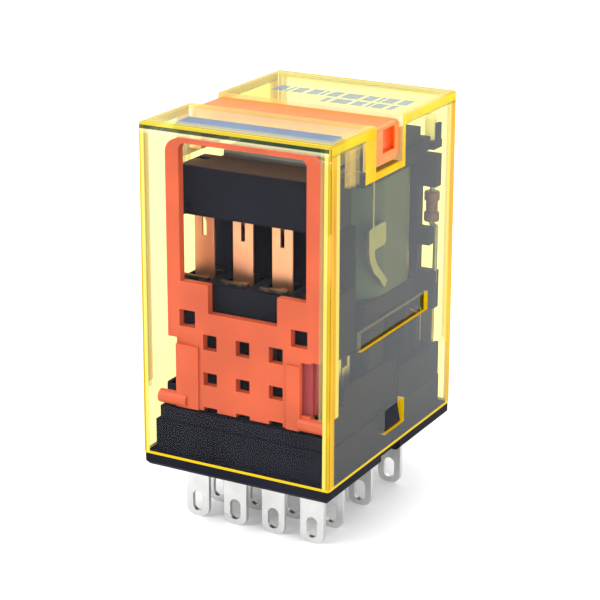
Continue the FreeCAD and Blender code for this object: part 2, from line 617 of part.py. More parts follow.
def strand(name, radius, spots):
    """A round wire through a row of points."""
    points = [FreeCAD.Vector(*spot) for spot in spots]
    runs = []
    for start, end in zip(points, points[1:]):
        runs.append(Part.makeCylinder(radius, (end - start).Length, start, end - start))
    for corner in points[1:-1]:
        runs.append(Part.makeSphere(radius, corner))
    wire = doc.addObject("Part::Feature", name)
    wire.Shape = runs[0].multiFuse(runs[1:])
    return wire


def make_wires():
    """Enamelled ends of the winding, down through the bobbin's flange to the coil terminals."""
    for side, sign in SIDES.items():
        node(strand(f"coil_lead_{side}", 0.1, [
            (8.2 * sign, 11.62, 11.4), (7.0 * sign, 10.2, 12.4), (7.0 * sign, 10.2, 18.6),
            (6.55 * sign, 10.05, 19.2)]))


def make_return_spring():
    """Flat spring beside the coil, which draws the armature back off the core."""
    spring = body("return_spring")
    thickness = (8.5, 8.75)
    pad(spring, "YZ", thickness, [[
        (-1.65, 29.8), (-1.65, 24.4), (-2.4, 24.2), (-2.4, 22.0), (-2.1, 20.9), (-1.2, 19.6), (0.1, 18.6),
        (0.7, 17.9), (1.2, 17.5), (1.75, 18.1), (1.2, 18.7), (0.5, 19.3), (-0.5, 20.3), (-1.05, 21.2),
        (-1.1, 22.0), (1.0, 22.0), (1.3, 22.3), (1.3, 24.1), (1.0, 24.4), (-1.35, 24.4), (-1.35, 29.8)]])
    pad(spring, "XY", (29.55, 29.8), [rectangle((6.15, 8.75), (-1.65, -1.35))])
    return node(spring)


# ---- card ----

def make_card():
    card = body("card")
    face = ("card_front", "card_front + card_thick")
    right = [("card_waist", "card_low"), ("card_waist", "shoulder"), ("card_half", "shoulder"),
             ("card_half", "card_top")]
    pad(card, "XZ", face, [mirrored(right)])
    soften(card, "card_round", lambda e: runs_along(e, Y_AXIS)
           and e.BoundBox.ZMin > value("card_top") - 0.01)
    through = ("card_front - 0.3", "card_front + card_thick + 0.3")
    sight = [("dip_half", "dip_low"), ("dip_half", "sight_low"), ("sight_half", "sight_low"),
             ("sight_half", "sight_top")]
    pocket(card, "XZ", through, [mirrored(sight)])
    soften(card, 0.7, lambda e: runs_along(e, Y_AXIS)
           and abs(e.BoundBox.ZMin - value("sight_top")) < 0.01 and e.BoundBox.XLength < 0.01)
    # raised outer strips, one each side of the six ports, and the sunk panel beyond the right one
    for strip in ((-7.5, -4.95), (4.95, 6.45)):
        pad(card, "XZ", ("card_front - card_raised", "card_front + 0.1"),
            [rectangle(strip, ("card_low", 12.9))])
    pocket(card, "XZ", ("card_front - 0.3", "card_front + 0.5"), [rectangle(
        ("sunk_inner", "sunk_outer"), ("sunk_low", "sunk_high"))])
    ports = []
    for column in (-1, 0, 1):
        x = f"{column} * port_pitch"
        wide = (f"{x} - port_width/2", f"{x} + port_width/2")
        ports.append(rectangle(wide, (12.7, 14.3)))
        ports.append(rectangle(wide, (9.0, 10.35)))
        ports.append(rectangle(wide, ("card_low - 0.5", "card_low + 0.4")))
    for sign in (-1, 1):
        ports.append(rectangle(sorted((5.35 * sign, 7.15 * sign)), (14.75, 16.5)))
    pocket(card, "XZ", through, ports)
    for sign in (-1, 1):
        # flange that stiffens each lower edge, and the round foot that the card rocks on
        pad(card, "XZ", ("card_front + card_thick - 0.1", "card_flange_back"),
            [rectangle(sorted((7.3 * sign, 7.8 * sign)), ("sunk_low", "sunk_high"))])
        foot = sorted((f"{sign} * foot_inner", f"{sign} * foot_end"), key=value)
        pad(card, "YZ", foot, circles=[("foot_y", "foot_z", "foot_radius")])
    return node(card)


# ---- check button ----

def make_check_button():
    button = body("check_button")
    inside = "strap_half - strap_thick"
    span = ("strap_front", "strap_back")
    right = [("strap_half", "strap_low"), ("strap_half", "strap_top")]
    pad(button, "XZ", span, [mirrored(right)])
    soften(button, "strap_round", lambda e: runs_along(e, Y_AXIS)
           and e.BoundBox.ZMin > value("strap_top") - 0.01)
    pocket(button, "XZ", ("strap_front - 0.1", "strap_back + 0.1"),
           [rectangle((f"-({inside})", inside), ("strap_low - 1", "strap_top - 0.9"))])
    soften(button, "strap_foot_round", lambda e: runs_along(e, X_AXIS)
           and e.BoundBox.ZMax < value("strap_low") + 0.01 and e.BoundBox.YMin > 0.5)
    for sign in (-1, 1):
        # finger recess in each side tab
        deep = sorted((f"{sign} * (strap_half - recess_deep)", f"{sign} * (strap_half + 0.1)"), key=value)
        pocket(button, "YZ", deep, [rectangle(("recess_front", 0.0), ("recess_low", "recess_high"))])
    # finger over the armature, which it reaches at the end of its travel
    pad(button, "XY", ("plate_low + plate_thick + press + 0.1", "strap_top - 0.8"),
        [rectangle((-3.0, 3.0), (-0.6, 0.6))])
    return node(button)


# ---- indicator circuit ----

def make_indicator():
    column = block("holder_column", ("holder_inner", "holder_outer"), ("holder_front", "holder_back"),
                   ("body_top", "holder_top"))
    shelves = [column]
    steps = ((9.5, 12.35, 16.4), (8.9, 19.2, 21.0), (9.5, 25.5, 28.9))
    for number, (right, low, high) in enumerate(steps, start=1):
        shelves.append(block(f"holder_shelf_{number}", ("holder_outer - 0.1", right),
                             ("shelf_front", "holder_back"), (low, high)))
    shelves.append(block("holder_bridge", (6.9, 9.0), (9.0, 10.6), ("holder_top", 31.0)))
    shelves.append(block("holder_seat", (6.9, 9.5), (10.5, "holder_back"), ("holder_top", "lamp_low")))
    shelves.append(block("holder_guard", (9.15, 9.5), (11.4, 12.2), ("lamp_low - 0.1", 32.2)))
    shelves.append(block("holder_neck", (7.0, 7.8), (11.3, 12.3), (28.8, 29.7)))
    shelves.append(block("holder_arm", (6.9, 8.6), (5.7, 9.1), (30.9, 32.3)))
    low_way = rod("holder_low_way", "Z", "wire_way", (9.25, "resistor_y", 14.9), 5)
    lead_way = rod("holder_lead_way", "Z", "wire_way", ("resistor_x", "resistor_y", 25), 3.6)
    lamp_way = rod("holder_lamp_way", "Z", "wire_way", ("lamp_x", "lamp_y", "holder_top - 0.1"), 1)
    node(cut("component_holder", joined("holder_solid", shelves), [low_way, lead_way, lamp_way]))

    belly = rod("resistor_barrel", "Z", "resistor_belly",
                ("resistor_x", "resistor_y", "resistor_low + 0.4"), "resistor_tall - 0.8")
    caps = [rod(f"resistor_cap_{end}", "Z", "resistor_cap", ("resistor_x", "resistor_y", low),
                "resistor_cap_tall")
            for end, low in (("low", "resistor_low"),
                             ("high", "resistor_low + resistor_tall - resistor_cap_tall"))]
    doc.recompute()
    node(rounded("resistor", joined("resistor_solid", [belly] + caps), 0.15,
                 lambda e: e.Curve.TypeId == "Part::GeomCircle" and e.Curve.Radius > 0.75))
    x, y, low = (value(name) for name in ("resistor_x", "resistor_y", "resistor_low"))
    lower = strand("resistor_wire_low", value("wire_radius"), [
        (x, y, low), (x, y, low - 0.3), (x + 0.5, y, low - 0.55), (x + 0.5, y, 15.0)])
    upper = rod("resistor_wire_high", "Z", "wire_radius",
                ("resistor_x", "resistor_y", "resistor_low + resistor_tall"), 3.6)
    node(group("resistor_leads", [lower, upper]))

    lamp = rod("led_barrel", "Z", "lamp_radius", ("lamp_x", "lamp_y", "lamp_low"), "lamp_tall")
    dome = doc.addObject("Part::Sphere", "led_dome")
    bind(dome, Radius="lamp_radius")
    put(dome, "lamp_x", "lamp_y", "lamp_low + lamp_tall")
    node(joined("led", [lamp, dome]))
    node(rod("led_lead", "Z", "wire_radius", ("lamp_x", "lamp_y", "holder_top"), "lamp_low - holder_top"))


def make_marking():
    under = "height - wall_top"
    node(block("marking_plate", (-8.6, 8.2), (-9.8, -7.3), (f"{under} - 0.25", under)))
    node(block("marking_carrier", (-8.8, 8.4), (-10.0, -7.1), (f"{under} - 0.75", f"{under} - 0.25")))


def make_pigtails():
    """Flexible copper tails between the common strips and the moving springs, one for each pole."""
    for number, pole in enumerate(POLES, start=1):
        tail = body(f"pigtail_{number}")
        x = f"{pole} * pitch"
        pad(tail, "YZ", (f"{x} - 0.95", f"{x} - 0.55"), [[
            (-5.0, 17.6), (-5.0, 22.2), (-5.6, 23.6), (-6.4, 24.6), (-6.9, 25.58), (-7.1, 25.58),
            (-6.6, 24.5), (-5.8, 23.5), (-5.15, 22.1), (-5.15, 17.6)]])
        node(tail)


make_cover()
make_terminals()
make_base()
make_contact_block()
make_fixed_contacts()
make_springs()
make_moving_block()
make_armature()
make_yoke()
make_core()
make_coil()
make_wires()
make_return_spring()
make_card()
make_check_button()
make_indicator()
make_marking()
make_pigtails()
doc.recompute()

for thing in doc.Objects:
    if {"Invalid", "Error"} & set(thing.State):
        raise RuntimeError(f"{thing.Name}: {thing.State}")

os.makedirs("parts", exist_ok=True)
for part in nodes:
    if part.Shape.isNull() or not part.Shape.isValid() or not part.Shape.Solids:
        raise RuntimeError(f"{part.Label} has no valid solid")
    part.Shape.exportStep(f"parts/{part.Label}.step")
print(len(nodes), "sub-parts")
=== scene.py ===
import json
import math

import bmesh
import bpy
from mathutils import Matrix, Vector

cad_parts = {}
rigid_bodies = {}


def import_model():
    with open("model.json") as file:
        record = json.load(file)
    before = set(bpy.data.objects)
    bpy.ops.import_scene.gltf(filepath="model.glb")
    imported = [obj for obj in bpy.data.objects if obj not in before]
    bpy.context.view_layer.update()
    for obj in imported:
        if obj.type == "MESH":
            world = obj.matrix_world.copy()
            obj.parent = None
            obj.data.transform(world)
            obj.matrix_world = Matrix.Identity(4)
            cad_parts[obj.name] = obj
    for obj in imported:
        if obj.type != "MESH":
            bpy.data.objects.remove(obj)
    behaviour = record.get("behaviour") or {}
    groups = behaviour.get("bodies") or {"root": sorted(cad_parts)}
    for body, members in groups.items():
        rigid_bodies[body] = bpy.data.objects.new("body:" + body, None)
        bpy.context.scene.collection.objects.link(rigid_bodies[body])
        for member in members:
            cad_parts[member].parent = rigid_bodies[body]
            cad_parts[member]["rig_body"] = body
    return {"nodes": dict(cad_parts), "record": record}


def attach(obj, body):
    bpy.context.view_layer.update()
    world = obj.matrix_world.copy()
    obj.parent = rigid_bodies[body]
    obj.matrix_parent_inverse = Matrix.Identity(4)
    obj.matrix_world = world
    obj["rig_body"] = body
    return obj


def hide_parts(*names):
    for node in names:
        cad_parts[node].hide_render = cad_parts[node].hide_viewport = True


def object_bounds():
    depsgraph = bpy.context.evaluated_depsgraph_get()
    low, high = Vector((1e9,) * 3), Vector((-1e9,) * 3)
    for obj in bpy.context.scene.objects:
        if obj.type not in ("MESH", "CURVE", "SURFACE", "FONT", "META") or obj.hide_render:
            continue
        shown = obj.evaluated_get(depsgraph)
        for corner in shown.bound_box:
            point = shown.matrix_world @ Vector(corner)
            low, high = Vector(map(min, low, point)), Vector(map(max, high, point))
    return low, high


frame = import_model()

cad_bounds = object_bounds()
MM = 0.001

# the cover, in millimetres
HALF_WIDTH, HALF_DEPTH, TOP = 10.5, 13.8, 35.3
WALL_INSIDE, ROOF_UNDER = 9.7, 34.65
GROOVE_DEEP = 0.45
SADDLE_FRONT, SADDLE_BACK, SADDLE_LOW = -4.5, 1.15, 30.7
LINING_LOW = SADDLE_LOW - 0.65
CORNER_RIB_LOW = 8.5
RIM_TOP = 1.58   # the seating rim and the bright line above it, both painted glow
ABOVE_ALL = 40.0

nodes = frame["nodes"]
scene = bpy.context.scene


# ---- camera, floor and light ----

def add_camera():
    """Looks at the middle of the cover from the front right, a little above."""
    azimuth, elevation, roll = (math.radians(angle) for angle in (28.69, 18.49, 0.2))
    middle = Vector((0, 0, 17 * MM))
    away, aside, above = 200.7 * MM, -0.20 * MM, -1.83 * MM
    back = Vector((math.sin(azimuth) * math.cos(elevation), -math.cos(azimuth) * math.cos(elevation),
                   math.sin(elevation)))
    right = Vector((math.cos(azimuth), math.sin(azimuth), 0))
    up = back.cross(right)
    data = bpy.data.cameras.new("camera")
    data.sensor_width, data.lens = 36.0, 118.83
    data.clip_start, data.clip_end = 0.01, 10
    camera = bpy.data.objects.new("camera", data)
    camera.location = middle + back * away + right * aside + up * above
    camera.rotation_euler = back.to_track_quat("Z", "Y").to_euler()
    camera.rotation_euler.rotate_axis("Z", roll)
    scene.collection.objects.link(camera)
    scene.camera = camera


def add_floor():
    """A plain pale floor just under the blades' tips."""
    size = 3.0
    level = cad_bounds[0][2] - 0.02 * MM
    mesh = bpy.data.meshes.new("floor")
    corners = [(-size, -size, level), (size, -size, level), (size, size, level), (-size, size, level)]
    mesh.from_pydata(corners, [], [(0, 1, 2, 3)])
    floor = bpy.data.objects.new("floor", mesh)
    mesh.materials.append(plain("floor_paint", (0.93, 0.93, 0.925), 0.8, glow=0.12))
    scene.collection.objects.link(floor)


def add_light(name, place, size, power):
    """A square soft light that faces the middle of the part."""
    target = Vector((0, 0, 17 * MM))
    data = bpy.data.lights.new(name, "AREA")
    data.shape, data.size, data.energy = "SQUARE", size, power
    lamp = bpy.data.objects.new(name, data)
    lamp.location = place
    lamp.rotation_euler = (Vector(place) - target).to_track_quat("Z", "Y").to_euler()
    scene.collection.objects.link(lamp)


def add_world():
    """An even, nearly white studio all round."""
    world = bpy.data.worlds.new("studio")
    scene.world = world
    world.use_nodes = True
    background = world.node_tree.nodes["Background"]
    background.inputs["Color"].default_value = (1, 1, 1, 1)
    background.inputs["Strength"].default_value = 0.95


# ---- materials ----

class Shader:
    """Short ways to add and link nodes in one material."""

    def __init__(self, name):
        self.material = bpy.data.materials.new(name)
        self.material.use_nodes = True
        self.tree = self.material.node_tree
        self.tree.nodes.clear()
        self.output = self.add("OutputMaterial")
        self.coordinates = self.add("TexCoord").outputs["Object"]

    def add(self, kind, **inputs):
        node = self.tree.nodes.new(f"ShaderNode{kind}")
        for key, given in inputs.items():
            self.feed(node.inputs[key.replace("_", " ")], given)
        return node

    def feed(self, socket, given):
        if isinstance(given, bpy.types.NodeSocket):
            self.tree.links.new(given, socket)
        elif isinstance(given, tuple) and len(given) < len(socket.default_value):
            socket.default_value = (*given, 1.0)
        else:
            socket.default_value = given

    def math(self, operation, a, b=None):
        node = self.add("Math")
        node.operation = operation
        self.feed(node.inputs[0], a)
        if b is not None:
            self.feed(node.inputs[1], b)
        return node.outputs[0]

    def noise(self, scale, detail=3.0, stretch=None):
        """Noise with features about 1/scale metres across, stretched along an axis if asked."""
        where = self.coordinates
        if stretch:
            where = self.add("Mapping", Vector=where, Scale=stretch).outputs[0]
        return self.add("TexNoise", Vector=where, Scale=scale, Detail=detail).outputs["Fac"]

    def blend(self, amount, first, second):
        """Two colours mixed by an amount."""
        node = self.add("MixRGB")
        self.feed(node.inputs["Fac"], amount)
        self.feed(node.inputs["Color1"], first)
        self.feed(node.inputs["Color2"], second)
        return node.outputs[0]

    def ramp(self, amount, low, high):
        """Spreads an amount from low..high to 0..1."""
        node = self.add("MapRange")
        self.feed(node.inputs["Value"], amount)
        node.inputs["From Min"].default_value, node.inputs["From Max"].default_value = low, high
        return node.outputs[0]

    def bump(self, height, depth, strength=1.0):
        """A bump of a real depth in metres."""
        node = self.add("Bump", Height=height, Strength=strength)
        node.inputs["Distance"].default_value = depth
        return node.outputs[0]

    def finish(self, shader):
        self.tree.links.new(shader.outputs[0], self.output.inputs["Surface"])
        return self.material


def plain(name, colour, rough, glow):
    s = Shader(name)
    tone = s.blend(s.noise(40), tuple(c * 0.985 for c in colour), colour)
    shader = s.add("BsdfPrincipled", Base_Color=tone, Roughness=rough)
    shader.inputs["Emission Color"].default_value = (1, 1, 1, 1)
    shader.inputs["Emission Strength"].default_value = glow
    return s.finish(shader)


def moulded(name, colour, rough, grain=0.004, sheen_tone=1.25, soft=0.0, shine=0.5, painted_light_patch=None):
    """Moulded plastic: fine texture, slow tone drift and slightly uneven gloss.

    A patch is a second colour inside one box, given by its spans along X, Y and Z; it paints light or shade
    on that spot."""
    s = Shader(name)
    drift = s.ramp(s.noise(180, 2), 0.35, 0.65)
    tone = s.blend(drift, tuple(c * 0.9 for c in colour), tuple(min(1, c * sheen_tone) for c in colour))
    # the patch paints a lighter or darker colour on one spot, standing in for light or shade there
    if painted_light_patch:
        second, spans = painted_light_patch
        spot = s.add("SeparateXYZ", Vector=s.coordinates)
        inside = 1.0
        for axis, (low, high) in zip("XYZ", spans):
            inside = s.math("MULTIPLY", inside, s.math("GREATER_THAN", spot.outputs[axis], low * MM))
            inside = s.math("MULTIPLY", inside, s.math("LESS_THAN", spot.outputs[axis], high * MM))
        tone = s.blend(inside, tone, second)
    fine = s.noise(9000, 4)
    gloss = s.math("ADD", s.math("MULTIPLY", s.noise(700, 3), 0.16), rough - 0.08)
    shader = s.add("BsdfPrincipled", Base_Color=tone, Roughness=gloss,
                   Normal=s.bump(fine, grain * MM))
    shader.inputs["Specular IOR Level"].default_value = shine
    shader.inputs["Subsurface Weight"].default_value = soft
    shader.inputs["Subsurface Radius"].default_value = (0.6 * MM, 0.25 * MM, 0.1 * MM)
    return s.finish(shader)


def metal(name, colour, rough, stretch, tarnish_and_shade=None):
    """Rolled or plated strip: fine lines along the rolling direction, and slight staining.

    Above a level the plating stops and leaves the alloy, painted in a dark tarnished tone that is partly
    painted shade deep inside the relay."""
    line_depth, stain = 0.002 * MM, 0.85
    s = Shader(name)
    lines = s.noise(1500, 3, stretch)
    cloud = s.ramp(s.noise(420, 3), 0.3, 0.7)
    tone = s.blend(cloud, tuple(c * stain for c in colour), colour)
    # above the level: tarnished alloy, darkened further as painted shade
    if tarnish_and_shade:
        alloy, level = tarnish_and_shade
        height = s.add("SeparateXYZ", Vector=s.coordinates).outputs["Z"]
        tone = s.blend(s.math("GREATER_THAN", height, level * MM), tone, alloy)
    gloss = s.math("ADD", s.math("MULTIPLY", lines, 0.22), rough - 0.08)
    shader = s.add("BsdfPrincipled", Base_Color=tone, Roughness=gloss, Metallic=1.0,
                   Normal=s.bump(lines, line_depth))
    return s.finish(shader)


class CoverShader(Shader):
    """Shared parts of the cover's faces: sizes in millimetres and layers laid over clear plastic, most of
    them painted glow and shade.
    """

    def __init__(self, name):
        super().__init__(name)
        spot = self.add("SeparateXYZ", Vector=self.coordinates)
        self.x, self.y, self.z = (self.math("DIVIDE", spot.outputs[axis], MM) for axis in "XYZ")
        self.facing = self.add("LayerWeight", Blend=0.5).outputs["Facing"]
        path = self.add("LightPath")
        self.lighting = self.math("MAXIMUM", path.outputs["Is Shadow Ray"], path.outputs["Is Diffuse Ray"])

    def within(self, what, low, high):
        """One between two sizes."""
        above = self.math("GREATER_THAN", what, low)
        return self.math("MULTIPLY", above, self.math("LESS_THAN", what, high))

    def box(self, *spans):
        """One inside a range of each size, and nothing outside."""
        inside = 1.0
        for what, low, high in spans:
            inside = self.math("MULTIPLY", self.within(what, low, high), inside)
        return inside

    def either(self, *masks):
        """One where any of the masks is."""
        total = masks[0]
        for mask in masks[1:]:
            total = self.math("MAXIMUM", total, mask)
        return total

    def stops(self, amount, span, entries):
        """A row of colours with their cover, along an amount from nothing to a span."""
        node = self.add("ValToRGB", Fac=self.math("DIVIDE", amount, span))
        ramp = node.color_ramp
        while len(ramp.elements) < len(entries):
            ramp.elements.new(0.5)
        for element, (place, colour, cover) in zip(ramp.elements, entries):
            element.position = place / span
            element.color = (*colour, cover)
        return node.outputs["Color"], node.outputs["Alpha"]

    def clear(self, tint, deep, strong, mirror_base, mirror_gain):
        """Transparent wall, with more colour and more mirror towards glancing angles."""
        share = self.ramp(self.facing, 0.2, strong)
        tone = self.blend(self.lighting, self.blend(share, tint, deep), (1, 1, 1))
        through = self.add("BsdfTransparent", Color=tone)
        gloss = self.add("BsdfGlossy", Color=(0.88, 0.93, 1.0), Roughness=0.04)
        mirror = self.math("ADD", self.math("MULTIPLY", self.math("POWER", self.facing, 4.0), mirror_gain),
                           mirror_base)
        return self.over(through, gloss, mirror)

    def over(self, lower, upper, share):
        """Mixes a share of the upper shader over the lower one."""
        mix = self.add("MixShader", Fac=share)
        self.tree.links.new(lower.outputs[0], mix.inputs[1])
        self.tree.links.new(upper.outputs[0], mix.inputs[2])
        return mix

    def layer(self, lower, colour, share, rough=0.3):
        """A layer over another shader that shadow and diffuse rays don't see: painted glow of gathered
        light and painted dark bands on the cover, and also print and the lens's milky colour.
        """
        solid = self.add("BsdfPrincipled", Base_Color=colour, Roughness=rough)
        solid.inputs["Specular IOR Level"].default_value = 0.02
        share = self.math("MULTIPLY", share, self.math("SUBTRACT", 1.0, self.lighting))
        return self.over(lower, solid, share)


CLEAR_TINT = (1.0, 0.99, 0.95)
DEEP_TINT = (0.88, 0.77, 0.25)
# painted glow colours (AMBER, YELLOW, PALE) and painted dark band colours (OLIVE, BROWN) for the cover's
# edges
AMBER = (0.62, 0.28, 0.01)
YELLOW = (0.74, 0.57, 0.0)
PALE = (0.78, 0.66, 0.22)
OLIVE = (0.10, 0.09, 0.02)
BROWN = (0.12, 0.06, 0.01)


def cover_wall():
    """Front, rear and side faces: clear, with painted glow and painted dark bands on the corner columns,
    rims and saddle lining.
    """
    s = CoverShader("cover_wall")
    shader = s.clear(CLEAR_TINT, DEEP_TINT, 0.55, 0.006, 0.72)
    across = s.math("SUBTRACT", HALF_WIDTH, s.math("ABSOLUTE", s.x))
    along = s.math("SUBTRACT", HALF_DEPTH, s.math("ABSOLUTE", s.y))
    on_end = s.math("LESS_THAN", along, 0.22)
    on_side = s.math("SUBTRACT", 1.0, on_end)
    drift = s.ramp(s.noise(220, 2, (1, 1, 0.3)), 0.35, 0.65)

    # corner columns, as seen through the end faces and the side faces, painted as bands of glow and dark
    # shade; their ribs stop above the base
    above = s.math("GREATER_THAN", s.z, CORNER_RIB_LOW)
    tone, cover = s.stops(across, 1.4, (
        (0.0, BROWN, 0.85), (0.08, (0.42, 0.28, 0.0), 0.85), (0.34, (0.48, 0.33, 0.01), 0.85),
        (0.38, (0.75, 0.62, 0.12), 0.85), (0.70, (0.72, 0.60, 0.14), 0.8), (0.76, (0.26, 0.23, 0.07), 0.6),
        (1.12, (0.34, 0.31, 0.13), 0.5), (1.2, (0.34, 0.31, 0.13), 0.0)))
    low = s.math("MAXIMUM", above, s.math("LESS_THAN", across, 0.72))
    shader = s.layer(shader, tone, s.math("MULTIPLY", s.math("MULTIPLY", cover, on_end), low))
    tone, cover = s.stops(along, 2.8, (
        (0.0, AMBER, 0.9), (0.75, (0.66, 0.33, 0.02), 0.85), (0.86, (0.50, 0.22, 0.02), 0.8),
        (0.95, AMBER, 0.85), (1.28, (0.60, 0.30, 0.04), 0.8), (1.36, (0.74, 0.58, 0.14), 0.85),
        (1.9, (0.72, 0.56, 0.14), 0.8), (2.0, PALE, 0.0)))
    low = s.math("MAXIMUM", above, s.math("LESS_THAN", along, 1.1))
    shader = s.layer(shader, s.blend(s.math("MULTIPLY", drift, 0.4), tone, YELLOW),
                     s.math("MULTIPLY", s.math("MULTIPLY", cover, on_side), low))

    # upper rims, painted as glow with a dark band beneath it
    drop = s.math("SUBTRACT", TOP, s.z)
    tone, cover = s.stops(drop, 1.5, (
        (0.0, (0.55, 0.42, 0.05), 0.8), (0.22, (0.60, 0.48, 0.04), 0.8), (0.30, (0.02, 0.045, 0.02), 0.9),
        (0.62, (0.02, 0.045, 0.02), 0.9), (0.70, (0.75, 0.68, 0.45), 0.6), (0.95, (0.8, 0.7, 0.4), 0.35),
        (1.1, PALE, 0.0)))
    front = s.math("LESS_THAN", s.y, 0.0)
    shader = s.layer(shader, s.blend(front, (0.62, 0.55, 0.10), tone), s.math("MULTIPLY", cover, on_end))
    tone, cover = s.stops(drop, 2.0, (
        (0.0, (0.30, 0.25, 0.05), 0.8), (0.2, YELLOW, 0.93), (0.85, (0.70, 0.50, 0.0), 0.9),
        (1.05, OLIVE, 0.6), (1.2, OLIVE, 0.0)))
    shader = s.layer(shader, s.blend(drift, tone, s.blend(0.5, tone, (0.40, 0.33, 0.03))),
                     s.math("MULTIPLY", cover, on_side))

    # lining of the saddle, painted as glow
    height = (s.z, LINING_LOW, ABOVE_ALL)
    before = s.box((s.y, SADDLE_FRONT - 2.2, SADDLE_FRONT + 0.1), height)
    behind = s.box((s.y, SADDLE_BACK - 0.05, SADDLE_BACK + 0.7), height)
    band = s.either(before, behind)
    shelf = s.box((s.y, SADDLE_FRONT - 1.1, SADDLE_BACK + 0.7), (s.z, LINING_LOW, SADDLE_LOW + 0.05))
    shader = s.layer(shader, s.blend(drift, (0.62, 0.38, 0.0), (0.80, 0.60, 0.02)),
                     s.math("MULTIPLY", s.math("MULTIPLY", band, on_side), 0.85))
    shader = s.layer(shader, s.blend(drift, (0.80, 0.38, 0.0), (0.82, 0.52, 0.0)),
                     s.math("MULTIPLY", s.math("MULTIPLY", shelf, on_side), 0.9))
    # painted glow along the seating rim at the foot
    foot = s.math("LESS_THAN", s.z, RIM_TOP)
    return s.finish(s.layer(shader, (0.66, 0.46, 0.01), s.math("MULTIPLY", foot, 0.9)))


def cover_roof():
    """Top face: clear over the marking plate, yellow elsewhere, with printed bars behind the button and
    painted glow with a painted dark band along its edges.
    """
    s = CoverShader("cover_roof")
    over_plate = s.box((s.x, -9.7, 9.7), (s.y, -12.8, -6.4))
    deep = s.blend(over_plate, (0.93, 0.86, 0.26), (0.99, 0.98, 0.94))
    shader = s.clear(CLEAR_TINT, deep, 0.55, 0.006, 0.5)
    bars = s.math("GREATER_THAN", s.math("ADD", s.math("SINE", s.math("MULTIPLY", s.x, 8.0)),
                                         s.math("SINE", s.math("MULTIPLY", s.x, 3.1))), -0.9)
    rows = s.either(s.box((s.x, -6.5, 9.0), (s.y, 4.7, 7.0)), s.box((s.x, 0.5, 8.6), (s.y, 2.3, 4.3)))
    shader = s.layer(shader, (0.11, 0.19, 0.33), s.math("MULTIPLY", s.math("MULTIPLY", bars, rows), 0.72))
    # painted glow along the roof's edges, with a painted dark band just inside it
    across = s.math("SUBTRACT", HALF_WIDTH, s.math("ABSOLUTE", s.x))
    along = s.math("SUBTRACT", HALF_DEPTH, s.math("ABSOLUTE", s.y))
    nearest = s.math("MINIMUM", s.math("MULTIPLY", across, 2.0), along)
    tone, cover = s.stops(nearest, 2.4, (
        (0.0, (0.70, 0.60, 0.04), 0.85), (0.42, (0.80, 0.68, 0.01), 0.85), (0.55, (0.16, 0.12, 0.02), 0.7),
        (0.75, (0.70, 0.58, 0.12), 0.6), (1.2, (0.72, 0.60, 0.22), 0.5), (1.55, (0.45, 0.33, 0.08), 0.55),
        (1.7, PALE, 0.35), (2.2, PALE, 0.0)))
    return s.finish(s.layer(shader, tone, cover))


def cover_inside():
    """Inner faces of the cover, which add next to nothing to the outer ones."""
    s = CoverShader("cover_inside")
    return s.finish(s.add("BsdfTransparent", Color=(1.0, 0.998, 0.985)))


def cover_rib(name, colour, share, shaded_inner_part=False):
    """Ribs, rounded edges and cut faces of the clear plastic, painted with the glow of the light the whole
    wall gathers.

    With the inner part shaded, the colour darkens away from the outside as painted shade."""
    s = CoverShader(name)
    through = s.add("BsdfTransparent", Color=s.blend(s.lighting, (1.0, 0.97, 0.8), (1, 1, 1)))
    drift = s.ramp(s.noise(260, 2), 0.3, 0.7)
    tone = s.blend(drift, colour, (colour[0], colour[1] * 0.85, colour[2]))
    if shaded_inner_part:
        # painted shade: darker more than 0.35 mm in from the outside face
        depth = s.math("LESS_THAN", s.math("ABSOLUTE", s.x), HALF_WIDTH - 0.35)
        tone = s.blend(depth, tone, (0.22, 0.14, 0.01))
    return s.finish(s.layer(through, tone, share, 0.15))


def lamp_lens():
    """Milky lens of the indicator."""
    s = CoverShader("lamp_lens")
    through = s.add("BsdfTransparent", Color=(0.93, 0.95, 0.88))
    return s.finish(s.layer(through, (0.72, 0.74, 0.50), 0.75, 0.2))


def banded(name, colour, dark, pitch, metallic, rough):
    """Close turns round a vertical axis, such as a winding or a wound tape."""
    s = Shader(name)
    height = s.add("SeparateXYZ", Vector=s.coordinates).outputs["Z"]
    turns = s.math("SINE", s.math("MULTIPLY", height, 2 * math.pi / pitch))
    wear = s.noise(900, 3)
    tone = s.blend(s.ramp(turns, -1, 1), dark, colour)
    tone = s.blend(s.math("MULTIPLY", wear, 0.4), tone, dark)
    shader = s.add("BsdfPrincipled", Base_Color=tone, Roughness=rough, Metallic=metallic,
                   Normal=s.bump(turns, pitch * 0.2))
    return s.finish(shader)


